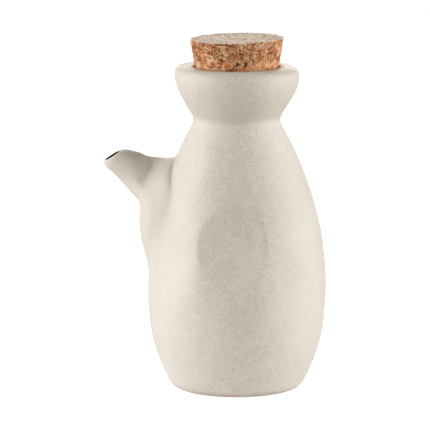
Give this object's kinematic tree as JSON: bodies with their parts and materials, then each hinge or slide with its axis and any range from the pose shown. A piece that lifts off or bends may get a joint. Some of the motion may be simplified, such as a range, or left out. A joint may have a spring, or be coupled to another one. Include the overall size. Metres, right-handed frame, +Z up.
{
  "type": "oil bottle",
  "caption": "Waisted stoneware bottle with a slanted pouring spout, finger hollows in its belly and a tapered cork pushed into its wide collar.",
  "frame": {"origin": "middle of the flat base that the bottle stands on", "axes": "+Z up along the axis of the turned body, -X towards the spout, +Y to the back hollow"},
  "size_m": [0.1032, 0.0828, 0.1636],
  "materials": {
    "matte_stoneware": "matte",
    "pressed_cork": "matte"
  },
  "bodies": {
    "bottle": {"bottle_body": "matte_stoneware"},
    "stopper": {"cork_stopper": "pressed_cork"}
  },
  "joints": [
    {"name": "stopper_lift", "type": "slide", "parent": "bottle", "child": "stopper", "axis": [0, 0, 1], "range_m": [0, 0.06]}
  ]
}
